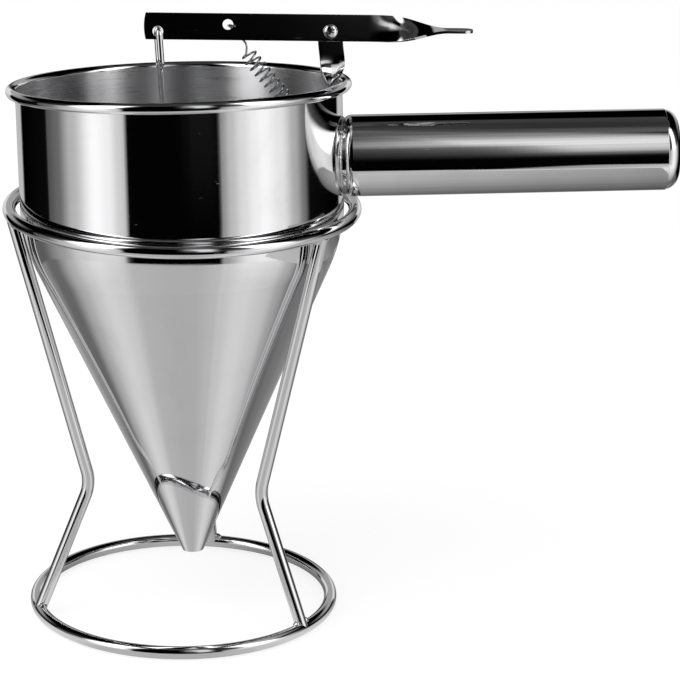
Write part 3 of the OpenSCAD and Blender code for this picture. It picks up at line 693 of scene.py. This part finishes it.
# ---------------------------------------------------------------- bracket and pivot
def bracket():
    """Upright strip with a round head, a quarter turn and a foot on the wall, and the spring's lip."""
    bm = bmesh.new()
    half, across = BRACKET_W / 2, 6
    top_z, low_z, foot_z = PIVOT.z - 4.4, PIVOT.z - 40.4, PIVOT.z - 55.4
    points = [(PIVOT.x + half - BRACKET_W * k / across, top_z) for k in range(across + 1)]
    for k in range(25):
        a = radians(180 - 7.5 * k)
        points.append((PIVOT.x + half * cos(a), PIVOT.z + half * sin(a)))
    rim = flat_strip(bm, points, [(PIVOT.x, PIVOT.z, 2.06)])
    edges = rim[:across]
    steps = 72
    before = Vector((PIVOT.x, top_z, 0))
    for k in range(1, steps + 1):
        z = top_z + (low_z - top_z) * k / steps
        middle = (PIVOT.x + (PLUMB_X - PIVOT.x) * ease((top_z - z) / 13)
                  + (WALL_X - PLUMB_X) * ease((PIVOT.z - 29.4 - z) / 9))
        angle = 90 * ease((PIVOT.z - 11 - z) / 19)
        edges = next_row(bm, edges)
        ring = ring_of(edges)
        bmesh.ops.translate(bm, vec=(middle - before.x, 0, z - before.y), verts=ring)
        bmesh.ops.rotate(bm, cent=(middle, 0, z), verts=ring,
                         matrix=Matrix.Rotation(radians(angle - before.z), 3, "Z"))
        before = Vector((middle, z, angle))
    draw_out(bm, edges, (0, 0, foot_z - low_z), 3)
    thickened(bm, BRACKET_T, 0.18)
    flat = [v.co.y for v in bm.verts if v.co.z > top_z]
    bmesh.ops.translate(bm, vec=(0, -min(flat), 0), verts=bm.verts)
    lip = bmesh.new()
    reach, side = WALL_X - BRACKET_T / 2 + 0.1, half
    flat_strip(lip, rounded([(WALL_X - LIP_L, -side), (reach, -side), (reach, side), (WALL_X - LIP_L, side)],
                            [1.2, 0, 0, 1.2], 5), [(LIP_HOLE_X, 0, 1.5)])
    thickened(lip, BRACKET_T, 0.18)
    bmesh.ops.rotate(lip, cent=(0, 0, 0), matrix=Matrix.Rotation(radians(90), 3, "X"), verts=lip.verts)
    high = [v.co.z for v in lip.verts]
    bmesh.ops.translate(lip, vec=(0, BRACKET_Y, LIP_Z - (max(high) + min(high)) / 2), verts=lip.verts)
    part = bpy.data.meshes.new("lip_part")
    lip.to_mesh(part)
    lip.free()
    bm.from_mesh(part)
    bpy.data.meshes.remove(part)
    return finished("bracket", bm, strip_polish, "funnel",
                    ["lever_bracket"], place=SEAT, sharp=40)


def foot_beads():
    """A short run of weld along both edges of the bracket's foot."""
    bm = bmesh.new()
    for side in (-1, 1):
        for k in range(6):
            bead(bm, (WALL_X, BRACKET_Y + side * (BRACKET_W / 2 + 0.35), PIVOT.z - 53.2 + 1.15 * k),
                 (0.85, 0.85, 1.05), 0, 0.9 * k + side)
    return finished("foot_beads", bm, weld_metal, "funnel",
                    ["bracket_welds"], place=SEAT, sharp=180)


# the pivot's parts are drawn with +Z to the front and then laid on its axis
PIVOT_AXIS = SEAT @ Matrix.Translation((PIVOT.x, 0, PIVOT.z)) @ Matrix.Rotation(radians(90), 4, "X")


def screw():
    """Pan head with a cross recess on a plain shank with a chamfered end."""
    bm = bmesh.new()
    head_low, head_r, head_h, ball = -(LEVER_FRONT - 0.15), 3.25, 1.9, 4.3
    crown = head_low + head_h - ball

    def dome(r):
        return crown + sqrt(ball ** 2 - r ** 2)

    arm, wide, reach, turn_by = 1.9, 0.4, 2.35, radians(-20)
    cross = [(arm, -wide), (arm, wide), (wide, wide), (wide, arm), (-wide, arm), (-wide, wide), (-arm, wide),
             (-arm, -wide), (-wide, -wide), (-wide, -arm), (wide, -arm), (wide, -wide)]
    vs = []
    for x, y in cross:
        r = sqrt(x * x + y * y)
        a = atan2(y, x) + turn_by
        vs.append(bm.verts.new((r * cos(a), r * sin(a), dome(r))))
    recess = [bm.edges.new((vs[k], vs[(k + 1) % 12])) for k in range(12)]
    rim = section(bm, reach, (0, 0, dome(reach)), (0, 0, 1), 64)
    bmesh.ops.triangle_fill(bm, use_beauty=True, use_dissolve=False, edges=recess + rim)
    edges = next_row(bm, recess)
    bmesh.ops.translate(bm, vec=(0, 0, -1.1), verts=ring_of(edges))
    bmesh.ops.scale(bm, vec=(0.8, 0.8, 1), verts=ring_of(edges))
    bmesh.ops.contextual_create(bm, geom=edges)
    edges = rim
    before = reach
    profile = [(reach + (head_r - 0.12 - reach) * k / 6, None) for k in range(1, 7)]
    profile += [(head_r, dome(head_r) - 0.06), (head_r, head_low + 0.1), (head_r - 0.1, head_low),
                (2.0, head_low), (2.0, -5.3), (1.65, -5.65)]
    for r, z in profile:
        edges = next_row(bm, edges)
        ring = ring_of(edges)
        bmesh.ops.scale(bm, vec=(r / before, r / before, 1), verts=ring)
        for v in ring:
            v.co.z = dome(r) if z is None else z
        before = r
    bmesh.ops.contextual_create(bm, geom=edges)
    return finished("screw", bm, fastener, "funnel",
                    ["pivot_screw"], place=PIVOT_AXIS, sharp=35)


def nut():
    """Hexagon with chamfered corners on both sides and a plain bore."""
    bm = bmesh.new()
    across, bore, high = 7.0, 2.03, 3.2
    points = [(across / sqrt(3) * cos(radians(60 * k)), across / sqrt(3) * sin(radians(60 * k)))
              for k in range(6)]
    flat_strip(bm, points, [(0, 0, bore)])
    bmesh.ops.recalc_face_normals(bm, faces=bm.faces)
    bmesh.ops.solidify(bm, geom=bm.faces[:], thickness=high)
    bmesh.ops.rotate(bm, cent=(0, 0, 0), matrix=Matrix.Rotation(radians(90), 3, "X"), verts=bm.verts)
    low = min(v.co.z for v in bm.verts)
    bmesh.ops.translate(bm, vec=(0, 0, -BRACKET_T - high - low), verts=bm.verts)
    rims = [e for e in bm.edges if len(e.link_faces) == 2 and e.calc_face_angle(0.0) > radians(50)]
    bmesh.ops.bevel(bm, geom=rims, offset=0.2, offset_type="OFFSET", affect="EDGES",
                    segments=2, profile=0.5, material=-1, clamp_overlap=True)
    return finished("nut", bm, fastener, "funnel",
                    ["pivot_nut"], place=PIVOT_AXIS, sharp=30)


def sleeve(name, node, inner, outer, low, high, material=None):
    """Washer or bush on the pivot."""
    bm = bmesh.new()
    corners = [(inner, low), (outer, low), (outer, high), (inner, high)]
    outline(bm, rounded(corners, [0.05, 0.08, 0.08, 0.05], 3))
    turn(bm, 96)
    return finished(name, bm, material or fastener, "funnel", [node],
                    place=PIVOT_AXIS, sharp=50)


bracket()
foot_beads()
screw()
nut()
sleeve("washer", "pivot_washer", 2.93, 4.6, 0.0, 0.42)
sleeve("bush", "pivot_bush", 2.03, 2.9, 0.0, 1.95)


# ---------------------------------------------------------------- rod, plug and spring
def rod():
    """Hairpin hook with a short leg in front and the long straight rod behind."""
    lean = atan((-HOOK_AT.x + HOOK_BEND * sin(radians(HOOK_TURN))) / (HOOK_AT.z - PLUG_TOP))
    long_leg = (HOOK_AT.z - HOOK_BEND - PLUG_TOP) / cos(lean) + 2.5
    bm = bmesh.new()
    edges = section(bm, ROD_R, (0, -HOOK_BEND, -HOOK_LEG), (0, 0, 1), 24)
    start = list(edges)
    edges = draw_out(bm, edges, (0, 0, HOOK_LEG), 4)
    edges = bend_round(bm, edges, (0, 0, 0), (1, 0, 0), -pi, 28)
    edges = draw_out(bm, edges, (0, 0, -long_leg), 24)
    close_end(bm, start, ROD_R)
    close_end(bm, edges)
    place = (SEAT @ Matrix.Translation((HOOK_AT.x, HOOK_AT.y, HOOK_AT.z)) @ Matrix.Rotation(-lean, 4, "Y")
             @ Matrix.Rotation(radians(HOOK_TURN), 4, "Z") @ Matrix.Translation((0, 0, -HOOK_BEND)))
    return finished("hook_rod", bm, wire_polish, "rod", ["valve_rod"], place=place)


def plug():
    """Turned stopper: a seat cone, a straight band and a boss that holds the rod."""
    seat = TIP_Z + BORE_L
    slope = (cone_in(seat + 12) - BORE_R) / 12
    low, gap, r = seat + 1.2, 0.45, 7.0
    band = low + (r - BORE_R + gap) / slope - 1.2
    bm = bmesh.new()
    points = rounded([(0.001, low), (BORE_R + 1.2 * slope - gap, low), (r, band + 1.2), (r, band + 5),
                      (r - 1.2, band + 6), (3.2, PLUG_TOP - 2.5), (3.2, PLUG_TOP), (0.001, PLUG_TOP)],
                     [0, 0.3, 0.25, 0.25, 0.2, 0.4, 0.3, 0], 4)
    outline(bm, points)
    turn(bm, 128)
    bmesh.ops.remove_doubles(bm, verts=bm.verts, dist=0.01)
    return finished("plug", bm, wire_polish, "rod", ["valve_plug"], place=SEAT, sharp=30)


def spring():
    """Hook through the lever's hole, a run of even coils, and a hook through the lip."""
    top = LEVER_REST @ SPRING_HOLE
    start = Vector((top.x - SPRING_SIDE, 0.4, top.z))
    end = Vector((LIP_HOLE_X, BRACKET_Y, LIP_Z + BRACKET_T))
    axis = (end - start).normalized()
    length = (end - start).length
    a = axis.cross(Vector((0, 1, 0))).normalized()
    b = axis.cross(a)
    first, last, lead = 17.3, length - 6.5, 0.5
    count = int(SPRING_TURNS * 28)
    coils = []
    for i in range(count + 1):
        t = i / count
        r = SPRING_R * min(1, ease(0.15 + t * SPRING_TURNS / lead),
                           ease(0.15 + (1 - t) * SPRING_TURNS / lead))
        turned = radians(360 * SPRING_TURNS * t + 90)
        coils.append(start + (first + t * (last - first)) * axis + r * (cos(turned) * a + sin(turned) * b))
    x, y, z = SPRING_HOLE
    hook = [LEVER_REST @ Vector(q) for q in (
        (x + 3.6, LEVER_FRONT - 0.62, z - 0.85), (x + 2.2, LEVER_FRONT - 0.62, z - 0.5),
        (x + 1, LEVER_FRONT - 0.6, z - 0.25), (x + 0.3, LEVER_FRONT - 0.3, z - 0.2), (x + 0.1, y, z - 0.3),
        (x + 0.5, LEVER_BACK + 0.35, z - 0.75), (x + 1.6, 0.35, z - 1.8), (x + 5, 0.45, z - 5.1),
        (x + 8.2, 0.45, z - 8.6), (x + 8.7, 0.45, z - 10.6))]
    foot = [Vector((LIP_HOLE_X + dx, BRACKET_Y, LIP_Z + dz)) for dx, dz in (
        (-2.6, 3.6), (-0.9, 1.9), (-0.1, 0.4), (-0.1, -0.9), (-0.9, -1.8), (-2.4, -2.2), (-3.9, -1.7))]
    bm = bmesh.new()
    along(bm, hook + coils + foot, SPRING_WIRE_R, 12)
    ob = finished("spring", bm, spring_wire, None, ["return_spring"], place=SEAT)
    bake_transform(ob)


rod()
plug()
spring()


# ---------------------------------------------------------------- studio
def seen_share(n, l):
    """1 for camera, glossy and transmission rays, 0 for the rest."""
    path = n.new("ShaderNodeLightPath").outputs
    direct = maths(n, l, "ADD", path["Is Camera Ray"], path["Is Glossy Ray"])
    return maths(n, l, "ADD", direct, path["Is Transmission Ray"], clamp=True)


def staged(name, bm, material, mirror_only=True):
    """Puts a card into the studio; mirror_only cards are seen in the steel and nowhere else."""
    me = bpy.data.meshes.new(name)
    bm.to_mesh(me)
    bm.free()
    ob = bpy.data.objects.new(name, me)
    bpy.context.scene.collection.objects.link(ob)
    me.materials.append(material)
    if mirror_only:
        ob.visible_camera = False
        ob.visible_diffuse = False
        ob.visible_shadow = False
    return ob


FLOOR_PALE, FLOOR_GLOW, FLOOR_GLOW_SHARE = 0.86, 1.14, 0.68
WORLD_FOR_LIGHT, WORLD_SEEN = 0.75, 1.0


def floor_material():
    """Pale floor that glows a little for the camera, so that it is white but keeps the shadow."""
    m = bpy.data.materials.new("pale_floor")
    m.use_nodes = True
    n, l = m.node_tree.nodes, m.node_tree.links
    n.clear()
    out = n.new("ShaderNodeOutputMaterial")
    skin = add(n, "ShaderNodeBsdfDiffuse", (0, 0), Color=(FLOOR_PALE, FLOOR_PALE, FLOOR_PALE, 1.0))
    shine = add(n, "ShaderNodeEmission", (0, -200), Color=(1, 1, 1, 1), Strength=FLOOR_GLOW)
    mix = n.new("ShaderNodeMixShader")
    l.new(maths(n, l, "MULTIPLY", seen_share(n, l), FLOOR_GLOW_SHARE), mix.inputs[0])
    l.new(skin.outputs[0], mix.inputs[1])
    l.new(shine.outputs[0], mix.inputs[2])
    l.new(mix.outputs[0], out.inputs["Surface"])
    return m


ground = bmesh.new()
bmesh.ops.create_grid(ground, x_segments=1, y_segments=1, size=6.0)
staged("floor", ground, floor_material(), mirror_only=False).visible_glossy = False

world = bpy.data.worlds.new("studio")
bpy.context.scene.world = world
world.use_nodes = True
wn, wl = world.node_tree.nodes, world.node_tree.links
wn["Background"].inputs["Color"].default_value = (1, 1, 1, 1)
level = wn.new("ShaderNodeMapRange")
level.inputs["To Min"].default_value = WORLD_FOR_LIGHT
level.inputs["To Max"].default_value = WORLD_SEEN
wl.new(seen_share(wn, wl), level.inputs["Value"])
wl.new(level.outputs["Result"], wn["Background"].inputs["Strength"])


def ramp(n, stops):
    """Smooth ramp through stops of (position, brightness)."""
    r = n.new("ShaderNodeValToRGB")
    r.color_ramp.interpolation = "EASE"
    while len(r.color_ramp.elements) < len(stops):
        r.color_ramp.elements.new(0.5)
    for e, (at, v) in zip(r.color_ramp.elements, stops):
        e.position = at
        e.color = (v, v, v, 1)
    return r


def glow(name, *layers):
    """Light whose brightness is a sum of layers; a layer is stops by bearing and stops by height."""
    m = bpy.data.materials.new(name)
    m.use_nodes = True
    n, l = m.node_tree.nodes, m.node_tree.links
    n.clear()
    out = n.new("ShaderNodeOutputMaterial")
    em = n.new("ShaderNodeEmission")
    uv = n.new("ShaderNodeUVMap")
    uv.uv_map = "spread"
    split = n.new("ShaderNodeSeparateXYZ")
    l.new(uv.outputs["UV"], split.inputs["Vector"])
    total = None
    for by_bearing, by_height in layers:
        around = ramp(n, [((b + 180) / 360, v) for b, v in by_bearing])
        l.new(split.outputs["X"], around.inputs["Fac"])
        upward = ramp(n, by_height)
        l.new(split.outputs["Y"], upward.inputs["Fac"])
        both = maths(n, l, "MULTIPLY", around.outputs["Color"], upward.outputs["Color"])
        total = both if total is None else maths(n, l, "ADD", total, both)
    l.new(total, em.inputs["Strength"])
    l.new(em.outputs[0], out.inputs["Surface"])
    return m


def surround(name, profile, material, steps=144):
    """Profile of (radius, height, v) in metres spun all round; u is the bearing, 0.5 at the front."""
    bm = bmesh.new()
    outline(bm, [(-r, z) for r, z, _ in profile], closed=False)
    bmesh.ops.rotate(bm, cent=(0, 0, 0), matrix=Matrix.Rotation(radians(-90), 3, "Z"), verts=bm.verts)
    bmesh.ops.spin(bm, geom=bm.verts[:] + bm.edges[:], cent=(0, 0, 0), axis=(0, 0, 1),
                   angle=2 * pi, steps=steps, use_merge=True)
    layer = bm.loops.layers.uv.new("spread")
    for f in bm.faces:
        c = f.calc_center_median()
        middle = degrees(atan2(c.x, -c.y))
        for loop in f.loops:
            co = loop.vert.co
            r = sqrt(co.x ** 2 + co.y ** 2)
            bearing = degrees(atan2(co.x, -co.y)) if r > 1e-5 else middle
            if bearing - middle > 180:
                bearing -= 360
            if middle - bearing > 180:
                bearing += 360
            v = min(profile, key=lambda h: (h[0] - r) ** 2 + (h[1] - co.z) ** 2)[2]
            loop[layer].uv = ((bearing + 180) / 360, v)
    return staged(name, bm, material)


# a ball of light cards around the table; v runs with the angle above the horizon at 0.22 m
BALL_R, BALL_Z, TABLE_R = 1.5, 0.22, 0.52


def up(angle):
    """Height on the light ball as a share, from an angle over the horizon."""
    return (angle + 90) / 180


ball_profile = [(max(0.0005, BALL_R * cos(radians(a))), BALL_Z + BALL_R * sin(radians(a)), up(a))
                for a in range(-75, 91, 3)]
# each layer of light: stops of (bearing, brightness), 0 at the front, and stops of (height, share)
# two wide cards, left and right, with a dark gap between them in front
side_cards = ([(-144, 0.0), (-103, 0.003), (-101, 0.10), (-91, 0.16), (-77, 0.55), (-58, 1.19), (-48, 1.05),
               (-40, 0.74), (-36, 0.62), (-34.4, 0.001), (27.5, 0.001), (29.5, 0.33), (36, 0.6), (44, 0.85),
               (53, 1.05), (60, 1.15), (74, 0.95), (86, 0.5), (95, 0.2), (100.5, 0.003), (144, 0.0)],
              [(up(-60), 1.0), (up(5), 1.0), (up(13), 0.15), (up(30), 0.1), (up(45), 0.0)])
# a strong lamp above each of them
side_lamps = ([(-80, 0.0), (-70, 1.6), (-58, 3.4), (-49, 3.0), (-37, 0.0), (42, 0.0), (53, 2.4), (61, 3.0),
               (70, 1.6), (80, 0.0)],
              [(up(4), 0.0), (up(13), 1.0), (up(50), 1.0), (up(66), 0.0)])
# the low backdrop, and a faint band over it
backdrop = ([(-180, 0.0), (-170, 0.0), (-164, 1.0), (-146, 1.0), (-141, 0.0), (144, 0.0), (147, 1.0),
             (164, 1.0), (170, 0.0), (180, 0.0)],
            [(up(-60), 0.5), (up(-12), 0.55), (up(0), 0.8), (up(5), 0.6), (up(10), 0.0)])
rear = ([(-180, 0.4), (-145, 0.4), (-104, 0.0), (104, 0.0), (145, 0.4), (180, 0.4)],
        [(up(2), 0.0), (up(7), 1.0), (up(17), 1.0), (up(24), 0.0)])
# an overhead card in front of the handle, its brighter corner, and the ceiling
canopy = ([(-3, 0.0), (1, 0.08), (5, 0.42), (8, 0.6), (10, 1.0), (21, 1.0), (29, 0.0)],
          [(up(-6), 0.0), (up(-1), 0.007), (up(4), 0.034), (up(12), 0.09), (up(20), 0.14), (up(28), 0.22),
           (up(34), 0.58), (up(39), 0.86), (up(46), 0.76), (up(54), 0.43), (up(62), 0.19), (up(70), 0.07)])
corner = ([(10, 0.0), (13.4, 1.0), (19, 1.0), (24, 0.0)],
          [(up(0), 0.0), (up(7), 0.1), (up(15), 0.45), (up(23), 0.6), (up(31), 0.5), (up(38), 0.1),
           (up(44), 0.0)])
ceiling = ([(-180, 1.0), (-20, 1.0), (10, 1.0), (25, 2.0), (40, 2.0), (60, 1.0), (180, 1.0)],
           [(up(57), 0.0), (up(63), 0.06), (up(70), 0.05), (up(78), 0.035), (up(90), 0.06)])
surround("light_ball", ball_profile,
         glow("card_light", side_cards, side_lamps, backdrop, rear, canopy, corner, ceiling))


def out(radius):
    """Distance on the table as a share of its radius."""
    return radius / TABLE_R


# the table's lit top, its outer part with a dark gap in front, and pools of light at both sides
TABLE_TOP, TABLE_STEPS = 0.0006, (0.05, 0.1, 0.14, 0.17, 0.2, 0.23, 0.26, 0.3, 0.34, 0.37, 0.385, 0.45)
table = ([(-180, 0.5), (-150, 0.42), (-125, 0.28), (-112, 0.16), (-104, 0.16), (-85, 0.45), (-60, 0.60),
          (-34, 0.54), (0, 0.50), (10, 0.50), (27, 0.58), (50, 0.50), (65, 0.38), (88, 0.24), (100, 0.16),
          (112, 0.2), (140, 0.26), (180, 0.5)],
         [(0.0, 1.0), (out(0.37), 1.0), (out(0.385), 0.0)])
table_sides = ([(-180, 0.3), (-118, 0.12), (-85, 0.4), (-38, 0.5), (-34, 0.0), (27.5, 0.0), (30, 0.2),
                (38, 0.24), (50, 0.4), (65, 0.36), (88, 0.22), (100, 0.12), (180, 0.3)],
               [(out(0.37), 0.0), (out(0.385), 1.0), (1.0, 1.0)])
pools = ([(-90, 0.0), (-71, 0.14), (-58, 0.18), (-45, 0.15), (-30, 0.0), (27, 0.0), (31, 0.08), (47, 0.26),
          (62, 0.31), (72, 0.28), (83, 0.17), (95, 0.0)],
         [(0.0, 1.0), (out(0.235), 1.0), (out(0.30), 1.25), (out(0.37), 1.5), (out(0.385), 2.0), (1.0, 2.4)])
surround("table_top", [(0.0005, TABLE_TOP, 0.0)] + [(r, TABLE_TOP, out(r)) for r in TABLE_STEPS + (TABLE_R,)],
         glow("table_light", table, table_sides, pools))

# a soft shade close under the handle, seen only in the steel, most of all in the handle's lower side
SHADE_X, SHADE_Y, SHADE_Z = (0.084, 0.234), (-0.084, 0.056), 0.165
shade = bmesh.new()
shade_uv = shade.loops.layers.uv.new("spread")
for u, v in ((0, 0), (1, 0), (1, 1), (0, 1)):
    shade.verts.new((SHADE_X[u], SHADE_Y[v], SHADE_Z))
for loop, uv in zip(shade.faces.new(shade.verts[:]).loops, ((0, 0), (1, 0), (1, 1), (0, 1))):
    loop[shade_uv].uv = uv
under = ([(-180, 1.15), (-44, 1.0), (114, 0.8), (180, 0.7)],
         [(0.0, 0.54), (0.3, 0.48), (0.4, 0.42), (0.48, 0.36), (0.6, 0.26), (0.77, 0.17), (0.94, 0.12)])
staged("handle_shade", shade, glow("shade_light", under))

# one soft lamp from the upper left, for the floor's shadow
LAMP_AT, LAMP_WATTS, LAMP_SIZE = Vector((-0.5, -0.6, 1.4)), 9.0, 1.2
lamp = bpy.data.lights.new("key", "AREA")
lamp.energy = LAMP_WATTS
lamp.size = LAMP_SIZE
key = bpy.data.objects.new("key", lamp)
key.location = LAMP_AT
key.rotation_euler = (-LAMP_AT).to_track_quat("-Z", "Y").to_euler()
key.visible_glossy = False
bpy.context.scene.collection.objects.link(key)

# ---------------------------------------------------------------- camera
SENSOR_MM, FOCAL_PX, PICTURE_PX = 36.0, 2768.06, 680.0
CAMERA_AT = Vector((0.043666, -1.251602, 0.522565))
CAMERA_RIGHT = Vector((0.999706, -0.020305, 0.013235))
CAMERA_UP = Vector((-0.006596, 0.297484, 0.954704))
CAMERA_LOOK = Vector((0.023323, 0.954511, -0.297263))
eye = bpy.data.cameras.new("eye")
eye.sensor_width = SENSOR_MM
eye.lens = SENSOR_MM * FOCAL_PX / PICTURE_PX
camera = bpy.data.objects.new("eye", eye)
axes = zip(CAMERA_RIGHT, CAMERA_UP, -CAMERA_LOOK, CAMERA_AT)
camera.matrix_world = Matrix([*axes, (0, 0, 0, 1)])
bpy.context.scene.collection.objects.link(camera)
bpy.context.scene.camera = camera
bpy.context.scene.view_settings.view_transform = "Standard"
